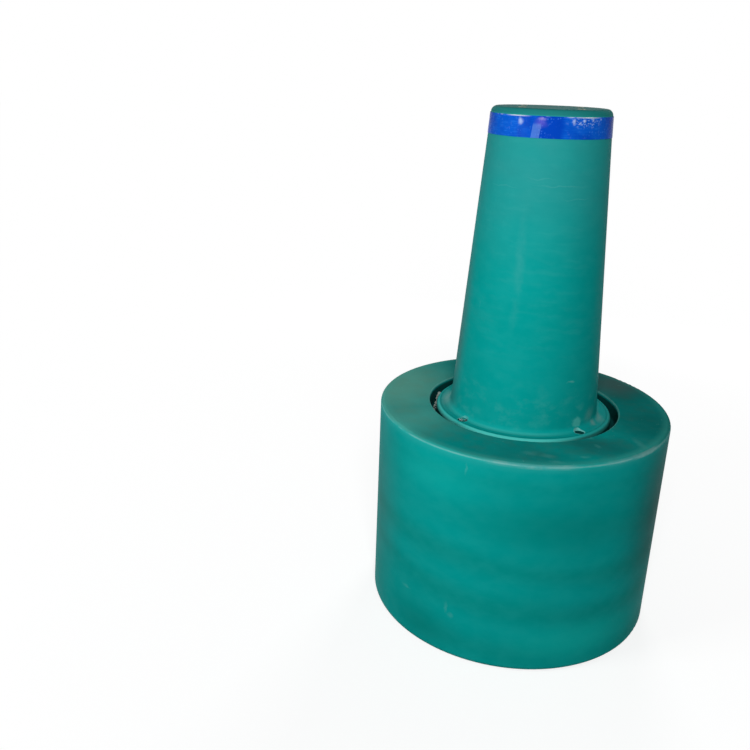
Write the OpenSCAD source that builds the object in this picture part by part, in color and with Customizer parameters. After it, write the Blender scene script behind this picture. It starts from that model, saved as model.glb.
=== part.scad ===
// Moulded navigation buoy: a drum float with a tapered tower that stands in a recess of its deck.
// The origin is the centre of the base, and +Z points up along the tower.
// The front of the buoy faces -Y. Angles are counted from +X, towards +Y.

/* [Float] */
// Outer diameter of the float
float_d = 800; // [640:10:1000]
// Height of the float, from its base to its deck
float_h = 600; // [400:10:800]
// Rounding of the deck's outer edge
deck_edge_r = 10; // [3:1:30]
// Rounding of the bottom's outer edge
base_edge_r = 16; // [3:1:40]

/* [Deck recess] */
// Depth of the round recess that the tower stands in
recess_depth = 50; // [40:1:90]
// Open gap all round between the tower's foot and the recess wall
foot_gap = 20; // [8:1:40]
// Rounding of the recess's upper edge
recess_lip_r = 4; // [1:0.5:8]
// Rounding between the recess wall and its floor
recess_floor_r = 5; // [1:0.5:8]

/* [Tower] */
// Height of the tower's top above the deck
tower_rise = 795; // [500:5:1100]
// Height of the foot's upper face above the deck
foot_rise = -6; // [-12:1:12]
// Diameter of the round foot
foot_d = 484; // [460:2:560]
// Rounding of the foot's upper rim
foot_edge_r = 10; // [2:1:12]
// Rounding of the foot's lower rim
foot_sole_r = 4; // [1:0.5:8]
// Diameter of the cone where it leaves the foot
cone_base_d = 406; // [360:2:420]
// Diameter to which the cone has tapered at the top
cone_top_d = 298; // [250:2:340]
// Fillet between the foot and the cone
cone_fillet_r = 14; // [4:1:20]
// Rounding of the top edge
top_edge_r = 15; // [4:1:30]

/* [Foot bolts] */
// Places for bolts round the foot
foot_bolt_places = 4; // [3:1:8]
// Bolts that are fitted, counted round from the first place
foot_bolts_fitted = 3; // [1:1:3]
// Angle of the first bolt place
foot_bolt_angle = 45; // [0:5:90]
// Distance from the foot's rim to the bolts' centres
foot_bolt_inset = 25; // [20:1:34]
// Diameter of the pocket round each bolt
pocket_d = 28; // [27:1:36]
// Depth of the pocket below the foot's upper face
pocket_depth = 8; // [6:1:20]
// Height above the foot up to which the fillet is cut away over each pocket
relief_h = 30; // [20:1:120]

/* [Fasteners] */
// Thread diameter of the bolts
bolt_d = 12; // [8:1:12]
// Clearance of a bolt in the holes that it passes through, on the diameter
bolt_hole_play = 2; // [1:0.5:3]
// Width of the hexagon heads across their flats
head_flats = 18; // [14:1:20]
// Height of the hexagon heads
head_h = 7.5; // [5:0.5:10]
// Diameter of the washers
washer_d = 24; // [18:1:26]
// Thickness of the washers
washer_t = 2.5; // [1.5:0.5:4]
// Length of thread that a bolt has in what it screws into
thread_grip = 24; // [12:1:32]
// Diameter of the threaded inserts
insert_d = 20; // [17:1:24]
// Length of the threaded inserts
insert_l = 40; // [36:1:60]
// Plastic left round a thread or an insert where it is moulded in, on the radius
moulded_gap = 0.05; // [0.02:0.01:0.1]

/* [Lantern mount] */
// Diameter of the circle of lantern inserts
lantern_circle_d = 200; // [120:5:210]
// Number of lantern inserts
lantern_count = 4; // [3:1:6]
// Bore of the lantern inserts
lantern_bore_d = 10.2; // [6.8:0.1:13]
// Depth of their bore
lantern_bore_depth = 32; // [20:1:34]

/* [Reflective tape] */
// Width of the tape
tape_w = 50; // [25:1:100]
// Thickness of the tape
tape_t = 0.6; // [0.3:0.1:1]
// Thickness of the glue between the tape and the cone
glue_t = 0.3; // [0.2:0.05:0.5]
// Distance from the start of the top edge's rounding down to the tape
tape_drop = 1; // [0:1:100]
// Length of the overlap where the tape's ends meet, in degrees
tape_overlap = 8; // [2:1:20]
// Angle at which the overlap is centred
tape_seam_angle = 253; // [0:1:359]

/* [Mooring] */
// Diameter of the well in the base
well_d = 240; // [200:5:320]
// Depth of the well
well_depth = 80; // [70:1:140]
// Rounding of the well's mouth
well_lip_r = 8; // [2:1:15]
// Rounding between the well's wall and its ceiling
well_ceiling_r = 6; // [2:1:15]
// Gap between the mooring plate and the well's wall
plate_gap = 20; // [16:1:30]
// Thickness of the mooring plate
plate_t = 10; // [6:1:16]
// Number of bolts in the mooring plate
plate_bolt_count = 4; // [3:1:6]
// Distance from the plate's rim to its bolts' centres
plate_bolt_inset = 22; // [16:1:30]
// Thickness of the mooring eye
eye_t = 12; // [8:1:20]
// Diameter of the hole in the eye
eye_hole_d = 26; // [18:1:32]
// Steel left round the hole
eye_wall = 13; // [8:1:16]
// Length of the eye where it is welded to the plate
eye_root = 80; // [60:1:90]
// Height of the eye's lowest point above the ground
eye_ground_gap = 10; // [5:1:20]
// Leg of the weld seams
weld_leg = 5; // [3:1:7]

/* [Foam plugs] */
// Number of plugs in the base, through which the foam was filled
plug_count = 2; // [1:1:4]
// Distance from the float's side to the plugs' centres
plug_inset = 150; // [80:5:180]
// Diameter of a plug's head
plug_head_d = 70; // [60:1:80]
// Thickness of a plug's head
plug_head_t = 5; // [3:1:8]
// Diameter of a plug's screwed stem
plug_stem_d = 52; // [40:1:54]
// Length of a plug's stem
plug_stem_l = 24; // [15:1:35]
// Width of the hexagon socket across its flats
plug_socket_flats = 24; // [14:1:30]
// Depth of the hexagon socket
plug_socket_depth = 12; // [6:1:14]
// Distance that a plug's head lies above the base
plug_sunk = 2; // [1:0.5:4]
// Gap round a plug's head
plug_gap = 0.8; // [0.4:0.1:2]

/* [Hidden] */
$fn = 96;
// Facets of a full circle in the small roundings
round_fn = 32;
// Overshoot of a cut past the face that it opens
over = 1;

float_r = float_d / 2;
foot_r = foot_d / 2;
recess_r = foot_r + foot_gap;
recess_z = float_h - recess_depth;
foot_z = float_h + foot_rise;
tower_z = float_h + tower_rise;

// Slope of the cone's side, and the cone's radius at any height
cone_slope = (cone_base_d - cone_top_d) / 2 / (tower_z - foot_z);
cone_angle = atan(cone_slope);
function cone_r(z) = cone_base_d / 2 - (z - foot_z) * cone_slope;

foot_bolt_r = foot_r - foot_bolt_inset;
pocket_z = foot_z - pocket_depth;
hole_d = bolt_d + bolt_hole_play;
foot_shank = washer_t + pocket_z - recess_z + thread_grip;

tape_top_z = tower_z - top_edge_r - tape_drop;
tape_low_z = tape_top_z - tape_w;

well_r = well_d / 2;
plug_ring_r = float_r - plug_inset;
plate_r = well_r - plate_gap;
plate_z = well_depth - plate_t;
plate_bolt_r = plate_r - plate_bolt_inset;
plate_shank = washer_t + plate_t + thread_grip;
eye_r = eye_hole_d / 2 + eye_wall;
eye_z = eye_ground_gap + eye_r;

steel_colour = "#b9bcbd";
zinc_colour = "#8d9397";
brass_colour = "#b59a5b";
pe_colour = "#078f8b";
plug_colour = "#05615f";
tape_colour = "#0b4fc4";

function numbered(name, count) = [for (i = [1:count]) str(name, "_", i)];

// What lies outside the rounding of a square corner in a section.
// to_x and to_z are 1 or -1, and point from the corner along the two sides that meet there.
module corner(x, z, to_x, to_z, r) {
    translate([x, z]) difference() {
        translate([to_x > 0 ? -over : -r, to_z > 0 ? -over : -r]) square(r + over);
        translate([to_x * r, to_z * r]) circle(r, $fn = round_fn);
    }
}

// Places what follows on a ring of count places, at place i
module on_ring(r, count, first, i) {
    rotate(first + (i - 1) * 360 / count) translate([r, 0, 0]) children();
}

module at_foot_bolt(i) {
    on_ring(foot_bolt_r, foot_bolt_places, foot_bolt_angle, i) children();
}

module at_lantern_insert(i) {
    on_ring(lantern_circle_d / 2, lantern_count, 45, i) children();
}

module at_plate_bolt(i) {
    on_ring(plate_bolt_r, plate_bolt_count, 45, i) children();
}

module at_plug(i) {
    on_ring(plug_ring_r, plug_count, 90, i) children();
}

// Hexagon bolt that hangs down from the underside of its head, which lies at z = 0
module hex_bolt(shank) {
    bevel = head_h * 0.15;
    translate([0, 0, -shank]) cylinder(h = shank + over, d = bolt_d);
    intersection() {
        cylinder(h = head_h, d = head_flats / cos(30), $fn = 6);
        union() {
            cylinder(h = head_h - bevel, d = head_flats * 1.2);
            translate([0, 0, head_h - bevel])
                cylinder(h = bevel, d1 = head_flats * 1.2, d2 = head_flats * 0.95);
        }
    }
}

module washer() {
    difference() {
        cylinder(h = washer_t, d = washer_d);
        translate([0, 0, -over]) cylinder(h = washer_t + 2 * over, d = bolt_d + bolt_hole_play / 2);
    }
}

// Threaded insert that hangs down from its open face, which lies at z = 0
module insert(bore_d, bore_depth) {
    difference() {
        translate([0, 0, -insert_l]) cylinder(h = insert_l, d = insert_d);
        translate([0, 0, -bore_depth]) cylinder(h = bore_depth + over, d = bore_d);
    }
}

module insert_seat() {
    translate([0, 0, -insert_l]) cylinder(h = insert_l + over, d = insert_d + 2 * moulded_gap);
}

// Half section of the float, with the recess in its deck and the well in its base
module float_section() {
    difference() {
        square([float_r, float_h]);
        corner(float_r, float_h, -1, -1, deck_edge_r);
        corner(float_r, 0, -1, 1, base_edge_r);
        difference() {
            translate([-over, recess_z]) square([recess_r + over, recess_depth + over]);
            corner(recess_r, recess_z, -1, 1, recess_floor_r);
        }
        corner(recess_r, float_h, 1, -1, recess_lip_r);
        difference() {
            translate([-over, -over]) square([well_r + over, well_depth + over]);
            corner(well_r, well_depth, -1, -1, well_ceiling_r);
        }
        corner(well_r, 0, 1, 1, well_lip_r);
    }
}

module plug_seat() {
    translate([0, 0, -over])
        cylinder(h = plug_sunk + plug_head_t + over, d = plug_head_d + 2 * plug_gap);
    cylinder(h = plug_sunk + plug_head_t + plug_stem_l + over, d = plug_stem_d + 2 * moulded_gap);
}

module float() {
    color(pe_colour) difference() {
        rotate_extrude() float_section();
        for (i = [1:foot_bolt_places]) at_foot_bolt(i) translate([0, 0, recess_z]) insert_seat();
        for (i = [1:plate_bolt_count]) at_plate_bolt(i)
            translate([0, 0, well_depth - over])
                cylinder(h = thread_grip + 2 * over, d = bolt_d + 2 * moulded_gap);
        for (i = [1:plug_count]) at_plug(i) plug_seat();
    }
}

// Half section of the tower: a flat round foot, and a cone that a fillet joins to it
module tower_section() {
    side = [cos(cone_angle), sin(cone_angle)];
    fillet_z = foot_z + cone_fillet_r;
    fillet = [cone_r(fillet_z) + cone_fillet_r / side.x, fillet_z];
    fillet_end = fillet - cone_fillet_r * side;
    round_z = tower_z - top_edge_r;
    round_centre = [cone_r(round_z) - top_edge_r / side.x, round_z];
    round_start = round_centre + top_edge_r * side;
    difference() {
        translate([0, recess_z]) square([foot_r, foot_z - recess_z]);
        corner(foot_r, foot_z, -1, -1, foot_edge_r);
        corner(foot_r, recess_z, -1, 1, foot_sole_r);
    }
    polygon([
        [0, foot_z - over],
        [cone_r(foot_z - over), foot_z - over],
        round_start,
        [round_centre.x, tower_z],
        [0, tower_z]
    ]);
    translate(round_centre) circle(top_edge_r, $fn = round_fn);
    difference() {
        polygon([
            [cone_r(foot_z) - over, foot_z - over],
            [fillet.x, foot_z - over],
            [fillet.x, foot_z],
            fillet_end,
            fillet_end - [over, 0]
        ]);
        translate(fillet) circle(cone_fillet_r, $fn = round_fn);
    }
}

module tower() {
    color(pe_colour) difference() {
        rotate_extrude() tower_section();
        for (i = [1:foot_bolt_places]) at_foot_bolt(i) {
            translate([0, 0, pocket_z]) cylinder(h = pocket_depth + relief_h, d = pocket_d);
            translate([0, 0, recess_z - over])
                cylinder(h = pocket_z - recess_z + 2 * over, d = hole_d);
        }
        for (i = [1:lantern_count]) at_lantern_insert(i) translate([0, 0, tower_z]) insert_seat();
    }
}

// Half section of one layer of tape on the cone, between two distances from its surface
module tape_section(inner, outer) {
    polygon([
        [cone_r(tape_low_z) + inner, tape_low_z],
        [cone_r(tape_low_z) + outer, tape_low_z],
        [cone_r(tape_top_z) + outer, tape_top_z],
        [cone_r(tape_top_z) + inner, tape_top_z]
    ]);
}

module tape_band() {
    color(tape_colour) {
        rotate_extrude() tape_section(glue_t, glue_t + tape_t);
        rotate(tape_seam_angle - tape_overlap / 2)
            rotate_extrude(angle = tape_overlap) tape_section(glue_t + tape_t / 2, glue_t + 2 * tape_t);
    }
}

module foot_insert(i) {
    color(brass_colour) at_foot_bolt(i) translate([0, 0, recess_z])
        insert(bolt_d + 2 * moulded_gap, thread_grip + over);
}

module foot_bolt(i) {
    color(steel_colour) at_foot_bolt(i) translate([0, 0, pocket_z + washer_t])
        hex_bolt(foot_shank);
}

module foot_washer(i) {
    color(steel_colour) at_foot_bolt(i) translate([0, 0, pocket_z]) washer();
}

module lantern_insert(i) {
    color(brass_colour) at_lantern_insert(i) translate([0, 0, tower_z])
        insert(lantern_bore_d, lantern_bore_depth);
}

module mooring_plate() {
    color(zinc_colour) translate([0, 0, plate_z]) difference() {
        cylinder(h = plate_t, r = plate_r);
        for (i = [1:plate_bolt_count]) at_plate_bolt(i)
            translate([0, 0, -over]) cylinder(h = plate_t + 2 * over, d = hole_d);
    }
}

// Outline of the eye: a round end, and sides that run from it to the eye's root on the plate
module eye_outline() {
    root = [eye_root / 2, plate_z - eye_z];
    touch_angle = atan2(root.y, root.x) - acos(eye_r / norm(root));
    touch = eye_r * [cos(touch_angle), sin(touch_angle)];
    difference() {
        union() {
            circle(eye_r);
            polygon([root, touch, [-touch.x, touch.y], [-root.x, root.y]]);
        }
        circle(d = eye_hole_d);
    }
}

module mooring_eye() {
    color(zinc_colour) {
        translate([-eye_t / 2, 0, eye_z]) rotate([90, 0, 90]) linear_extrude(eye_t) eye_outline();
        for (side = [0, 180]) rotate(side)
            translate([eye_t / 2, eye_root / 2, plate_z]) rotate([90, 0, 0])
                linear_extrude(eye_root) polygon([[-over, 0], [weld_leg, 0], [0, -weld_leg], [-over, -weld_leg]]);
    }
}

module plate_bolt(i) {
    color(zinc_colour) at_plate_bolt(i) translate([0, 0, plate_z - washer_t]) rotate([180, 0, 0])
        hex_bolt(plate_shank);
}

module plate_washer(i) {
    color(zinc_colour) at_plate_bolt(i) translate([0, 0, plate_z - washer_t]) washer();
}

module foam_plug(i) {
    color(plug_colour) at_plug(i) translate([0, 0, plug_sunk]) difference() {
        union() {
            cylinder(h = plug_head_t, d = plug_head_d);
            cylinder(h = plug_head_t + plug_stem_l, d = plug_stem_d);
        }
        translate([0, 0, -over])
            cylinder(h = plug_socket_depth + over, d = plug_socket_flats / cos(30), $fn = 6);
    }
}

float();
tower();
tape_band();
mooring_plate();
mooring_eye();
for (i = [1:foot_bolt_places]) foot_insert(i);
for (i = [1:foot_bolts_fitted]) {
    foot_bolt(i);
    foot_washer(i);
}
for (i = [1:lantern_count]) lantern_insert(i);
for (i = [1:plate_bolt_count]) {
    plate_bolt(i);
    plate_washer(i);
}
for (i = [1:plug_count]) foam_plug(i);
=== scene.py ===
"""Dresses a moulded navigation buoy: its plastic, its reflective tape, its metal and its stage."""

import math
import random

import bmesh
import bpy
from bpy.props import FloatProperty, FloatVectorProperty, PointerProperty
from mathutils import Matrix, Vector


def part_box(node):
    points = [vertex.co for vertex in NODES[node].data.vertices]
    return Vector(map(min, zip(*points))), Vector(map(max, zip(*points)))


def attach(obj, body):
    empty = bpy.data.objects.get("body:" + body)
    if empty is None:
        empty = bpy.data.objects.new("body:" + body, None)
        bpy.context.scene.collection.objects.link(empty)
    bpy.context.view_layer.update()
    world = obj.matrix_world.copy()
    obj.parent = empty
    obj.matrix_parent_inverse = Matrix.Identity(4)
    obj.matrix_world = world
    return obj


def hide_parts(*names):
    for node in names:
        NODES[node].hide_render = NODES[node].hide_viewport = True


bl_info = {
    "name": "Navigation Buoy",
    "version": (1, 0, 0),
    "blender": (4, 5, 0),
    "location": "3D View > Sidebar > Buoy",
    "description": "Dresses a moulded navigation buoy and sets up its stage",
    "category": "Object",
}

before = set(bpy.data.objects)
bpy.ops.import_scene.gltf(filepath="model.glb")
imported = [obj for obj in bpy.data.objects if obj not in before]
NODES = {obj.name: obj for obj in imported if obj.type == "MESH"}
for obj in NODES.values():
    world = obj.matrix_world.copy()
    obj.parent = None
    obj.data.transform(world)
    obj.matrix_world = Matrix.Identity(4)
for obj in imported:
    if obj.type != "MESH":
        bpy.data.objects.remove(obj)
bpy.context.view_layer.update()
BODY = "root"
MM = 0.001
THREAD_PITCH = 1.75 * MM  # of an M12 thread
# The level bands are painted shade along the wall's waves, not pigment
BAND_PITCH = 115 * MM  # of the pigment's level bands
WAVE_PERIOD = math.tau / 20  # of a Wave texture, in its scaled coordinate


def radius_at(node, height, pick=max, band=0.5 * MM):
    """Outer radius of a turned CAD node at that height, from its vertices, or the inner one with pick=min."""
    return pick(v.co.xy.length for v in NODES[node].data.vertices if abs(v.co.z - height) < band)


# Heights and radii that the CAD nodes give
FLOAT_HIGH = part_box("float")[1]
TOWER_LOW, TOWER_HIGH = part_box("tower")
TAPE_LOW, TAPE_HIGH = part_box("tape_band")
DECK_Z = FLOAT_HIGH.z
FLOAT_R = FLOAT_HIGH.x
FOOT_R = TOWER_HIGH.x
FOOT_Z = max(v.co.z for v in NODES["tower"].data.vertices if v.co.xy.length > FOOT_R - 15 * MM)
RECESS_Z = TOWER_LOW.z
TOWER_Z = TOWER_HIGH.z
RECESS_R = radius_at("float", DECK_Z, min)
BOLT_PLACES = [sum(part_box(n), Vector()) / 2 for n in sorted(NODES) if n.startswith("foot_insert")]


def to_linear(hex_colour):
    """Turns an sRGB hex colour such as "#0a9c96" into a linear RGB triple."""
    levels = [int(hex_colour[i:i + 2], 16) / 255 for i in (1, 3, 5)]
    return tuple(v / 12.92 if v <= 0.04045 else ((v + 0.055) / 1.055) ** 2.4 for v in levels)


def rgba(colour):
    """A linear RGB triple, or an sRGB hex colour, with full opacity."""
    return (*(to_linear(colour) if isinstance(colour, str) else colour), 1.0)


def around(bearing, radius, height):
    """The point at that radius, height and bearing, in degrees from +X and counter-clockwise from above."""
    turn = math.radians(bearing)
    return Vector((radius * math.cos(turn), radius * math.sin(turn), height))


# Materials


def add_node(material, kind, settings=None, **links):
    """Adds a shader node, sets its properties, and fills its inputs with values or other nodes' outputs.

    An input is named with underscores for spaces, or by its number after one underscore."""
    node = material.node_tree.nodes.new(kind)
    for name, value in (settings or {}).items():
        setattr(node, name, value)
    for name, value in links.items():
        key = int(name[1:]) if name[0] == "_" else name.replace("_", " ")
        socket = node.inputs[key]
        if isinstance(value, bpy.types.NodeSocket):
            material.node_tree.links.new(value, socket)
        else:
            socket.default_value = value
    return node


def new_material(name, **constants):
    """A material, its shader with what is the same all over, and the Object coordinates for its patterns."""
    material = bpy.data.materials.new(name)
    material.use_nodes = True
    material.node_tree.nodes.clear()
    shader = add_node(material, "ShaderNodeBsdfPrincipled", **constants)
    add_node(material, "ShaderNodeOutputMaterial", Surface=shader.outputs[0])
    place = add_node(material, "ShaderNodeTexCoord").outputs["Object"]
    return material, shader, place


def link(material, output, socket):
    """Joins a node's output to another node's input."""
    material.node_tree.links.new(output, socket)


def cloud(material, place, size_mm, low=0.35, high=0.65, detail=3.0, shift=0.0, tilt=0.0):
    """A soft-edged mask of blotches: 0 where the noise is under low, 1 where it is over high.

    size_mm is their width, or their sizes along X, Y and Z. A tilt in degrees tips them down to the right."""
    sizes = size_mm if isinstance(size_mm, tuple) else (size_mm, size_mm, size_mm)
    local = add_node(material, "ShaderNodeMapping", {"vector_type": "TEXTURE"}, Vector=place,
                     Location=(shift, shift, shift), Rotation=(0, math.radians(tilt), 0),
                     Scale=[size * MM for size in sizes])
    noise = add_node(material, "ShaderNodeTexNoise", Vector=local.outputs[0], Scale=1.0, Detail=detail,
                     Roughness=0.55)
    return add_node(material, "ShaderNodeMapRange", {"interpolation_type": "SMOOTHSTEP"},
                    Value=noise.outputs["Fac"], From_Min=low, From_Max=high).outputs[0]


def between(material, value, start, full):
    """A mask that rises from 0 at start to 1 at full, or falls where full is the lower."""
    rises = full > start
    return add_node(material, "ShaderNodeMapRange", {"interpolation_type": "SMOOTHSTEP"}, Value=value,
                    From_Min=min(start, full), From_Max=max(start, full),
                    To_Min=0.0 if rises else 1.0, To_Max=1.0 if rises else 0.0).outputs[0]


def both(material, *masks):
    """Where all the masks are: their product."""
    result = masks[0]
    for mask in masks[1:]:
        result = add_node(material, "ShaderNodeMath", {"operation": "MULTIPLY"},
                          _0=result, _1=mask).outputs[0]
    return result


def either(material, *masks):
    """Where any of the masks is: the largest of them."""
    result = masks[0]
    for mask in masks[1:]:
        result = add_node(material, "ShaderNodeMath", {"operation": "MAXIMUM"},
                          _0=result, _1=mask).outputs[0]
    return result


def span(material, value, base, start_mm, full_mm, past_mm, end_mm):
    """A mask that rises from start to full, and falls from past to end, all in millimetres from a base."""
    return both(material, between(material, value, base + start_mm * MM, base + full_mm * MM),
                between(material, value, base + end_mm * MM, base + past_mm * MM))


def ragged(material, place, reach_mm, size_mm):
    """The same coordinates, pushed about by noise, so that the marks read from them have uneven outlines."""
    noise = add_node(material, "ShaderNodeTexNoise", Vector=place, Scale=1 / (size_mm * MM), Detail=3.0)
    push = add_node(material, "ShaderNodeVectorMath", {"operation": "SUBTRACT"},
                    _0=noise.outputs["Color"], _1=(0.5, 0.5, 0.5))
    scaled = add_node(material, "ShaderNodeVectorMath", {"operation": "SCALE"},
                      _0=push.outputs[0], Scale=2 * reach_mm * MM)
    return add_node(material, "ShaderNodeVectorMath", _0=place, _1=scaled.outputs[0]).outputs[0]


def mark(material, place, centre, size_mm, turn=0.0, edge=0.4):
    """A worn patch round a point: 1 in its middle, 0 past its half sizes, and turned about +Z in degrees."""
    local = add_node(material, "ShaderNodeMapping", {"vector_type": "TEXTURE"}, Vector=place, Location=centre,
                     Rotation=(0, 0, math.radians(turn)), Scale=[half * MM for half in size_mm])
    ball = add_node(material, "ShaderNodeTexGradient", {"gradient_type": "SPHERICAL"},
                    Vector=local.outputs[0])
    return between(material, ball.outputs["Fac"], 0.0, edge)


def marks(material, place, edge, *spots):
    """Several marks as one mask. Each has its centre and half sizes, and may have a strength and a turn."""
    def one(centre, size_mm, strength=1.0, turn=0.0):
        mask = mark(material, place, centre, size_mm, turn, edge)
        return mask if strength == 1.0 else both(material, mask, strength)

    return either(material, *[one(*spot) for spot in spots])


def from_axis(material, place, centre=(0, 0, 0)):
    """Distance from the vertical line through a point."""
    flat = add_node(material, "ShaderNodeMapping", {"vector_type": "TEXTURE"}, Vector=place,
                    Location=centre).outputs[0]
    level = add_node(material, "ShaderNodeVectorMath", {"operation": "MULTIPLY"}, _0=flat, _1=(1, 1, 0))
    length = add_node(material, "ShaderNodeVectorMath", {"operation": "LENGTH"}, _0=level.outputs[0])
    return length.outputs["Value"]


def layer(material, below, *coats):
    """Lays coats over what is below them: each is a colour, and the mask and strength that say how thick."""
    for colour, mask, strength in coats:
        mix = add_node(material, "ShaderNodeMix", {"data_type": "RGBA"}, _0=both(material, mask, strength),
                       _6=below if isinstance(below, bpy.types.NodeSocket) else rgba(below), _7=rgba(colour))
        below = mix.outputs[2]
    return below


def surface(material, shader, colour, mask, smooth, rough):
    """Gives the shader its colour, and a roughness that goes from smooth to rough with the mask."""
    link(material, colour, shader.inputs["Base Color"])
    roughness = add_node(material, "ShaderNodeMapRange", Value=mask, To_Min=smooth, To_Max=rough)
    link(material, roughness.outputs[0], shader.inputs["Roughness"])


def relief(material, shader, *waves):
    """Bump from pairs of a pattern and its height in millimetres."""
    height, *others = [both(material, pattern, height_mm * MM) for pattern, height_mm in waves]
    for other in others:
        height = add_node(material, "ShaderNodeMath", _0=height, _1=other).outputs[0]
    bump = add_node(material, "ShaderNodeBump", Strength=1.0, Distance=1.0, Height=height)
    link(material, bump.outputs[0], shader.inputs["Normal"])


class Skin:
    """What the plastic's patterns read: a point's place, height, distance from the axis and slope."""

    def __init__(self, material, place):
        self.place = place
        self.scuffed = ragged(material, place, 6, 14)
        self.height = add_node(material, "ShaderNodeSeparateXYZ", Vector=place).outputs["Z"]
        self.radius = from_axis(material, place)
        normal = add_node(material, "ShaderNodeTexCoord").outputs["Normal"]
        self.upward = add_node(material, "ShaderNodeSeparateXYZ", Vector=normal).outputs["Z"]
        self.faces_up = between(material, self.upward, 0.75, 0.97)
        self.on_deck = both(material, between(material, self.upward, 0.4, 0.85),
                            between(material, self.radius, RECESS_R - 6 * MM, RECESS_R - 3 * MM),
                            span(material, self.height, DECK_Z, -7, -2, 1, 3))


def pigment(material, skin, plastic):
    """The plastic's colour: level bands of painted shade along the wall's waves, clouds, some as wide as a
    hand, and patches of painted shade and painted light on the float's side.
    """
    place = skin.place
    # Level bands of painted shade along the wall's waves, which the bump also raises
    tipped = add_node(material, "ShaderNodeMapping", {"vector_type": "TEXTURE"}, Vector=place,
                      Location=(0, 0, 9 * MM), Rotation=(0, math.radians(4), 0), Scale=(4, 4, 1))
    wave = add_node(material, "ShaderNodeTexWave", {"wave_type": "BANDS", "bands_direction": "Z"},
                    Vector=tipped.outputs[0], Scale=WAVE_PERIOD / BAND_PITCH, Distortion=6.5, Detail=1.0,
                    Detail_Scale=0.5)
    bands = both(material, wave.outputs["Fac"],
                 between(material, skin.height, DECK_Z - 20 * MM, DECK_Z - 90 * MM),
                 cloud(material, place, (700, 700, 160), 0.3, 0.6, detail=1.0, shift=1.3))
    wide = cloud(material, place, (220, 220, 130), 0.3, 0.7)
    fine = cloud(material, place, (50, 50, 30), 0.3, 0.7, detail=5.0, shift=2)
    # Painted shade: darker patches in the float's middle at the front right, and low at the front left
    thick = marks(material, place, 1.0, (around(286, FLOAT_R, 0.43), (330, 200, 130)),
                  (around(238, FLOAT_R, 0.06), (170, 170, 90)))
    # Painted light: lighter patches low at the front right, and high at the front left
    painted_light_patches = marks(material, place, 1.0, (around(302, FLOAT_R, 0.09), (280, 240, 90)),
                 (around(240, FLOAT_R, 0.52), (190, 190, 100), 0.55))
    colour = layer(material, plastic, ("#048078", bands, 0.52), ("#058a80", wide, 0.2),
                   ("#2aa8a2", fine, 0.15), ("#01685f", thick, 0.4), ("#14b3a9", painted_light_patches, 0.5))
    return colour, bands, wide


def weathered_tower(material, skin, wear, below, wide):
    """Dust bloom high on the tower, smeared into level streaks, a painted highlight down its front, and
    painted shade on the left sides and on the float's right side.
    """
    height = skin.height
    on_tower = between(material, height, 0.66, 0.9)
    bloom = both(material, between(material, height, 0.95, 1.3),
                 add_node(material, "ShaderNodeMapRange", Value=wide, To_Min=0.6, To_Max=1.0).outputs[0])
    smeared = ragged(material, skin.place, 9, 30)
    streaks = cloud(material, smeared, (80, 80, 16), 0.45, 0.75, detail=6.0, shift=4, tilt=3)
    # Painted grey shade down the tower's left edge and the float's left side
    painted_grey_shade = marks(material, smeared, 1.0, (around(193, 195 * MM, 0.8), (75, 75, 420)),
                      (around(203, FLOAT_R, 0.35), (170, 170, 330), 0.5))
    # Painted shade on the float's right side
    painted_shade_right = mark(material, smeared, around(343, FLOAT_R, 0.4), (260, 260, 360), edge=1.0)
    splashed = both(material, cloud(material, smeared, (38, 38, 26), 0.45, 0.8, detail=7.0, shift=12),
                    span(material, height, FOOT_Z, 0, 15, 60, 170))
    # A painted highlight down the tower's front, broken into patches
    painted_highlight_column = both(material, cloud(material, smeared, (40, 40, 70), 0.25, 0.75, detail=4.0, shift=6),
                 mark(material, smeared, around(256.3, 176 * MM, 1.02), (19, 19, 330), edge=1.0))
    lines = marks(
        material, smeared, 1.0, ((40 * MM, -160 * MM, 1.221), (95, 60, 2.2)),
        ((-95 * MM, -125 * MM, 1.212), (55, 60, 1.8)), ((-10 * MM, -160 * MM, 1.236), (50, 40, 2.2)),
        ((90 * MM, -150 * MM, 1.19), (50, 50, 2.0)), (around(223, 184 * MM, 0.92), (4, 4, 35)))
    top = both(material, skin.faces_up, between(material, height, TOWER_Z - 8 * MM, TOWER_Z - 1 * MM))
    rounding = between(material, height, TAPE_HIGH.z, TAPE_HIGH.z + 4 * MM)
    colour = layer(material, below, ("#438d91", bloom, 0.4),
                   ("#63b3af", both(material, streaks, on_tower), 0.045 * wear.scuffs),
                   ("#4a6d6b", painted_grey_shade, 0.58 * wear.dirt), ("#0a3f3b", painted_shade_right, 0.75 * wear.dirt),
                   ("#5fb9b1", splashed, 0.17 * wear.scuffs), ("#74b3b3", painted_highlight_column, 0.13 * wear.scuffs),
                   ("#84bfbb", lines, 0.09 * wear.scuffs), ("#2b6660", top, 0.6 * wear.dirt),
                   ("#1b6663", rounding, 0.6 * wear.dirt))
    return colour, streaks


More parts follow.
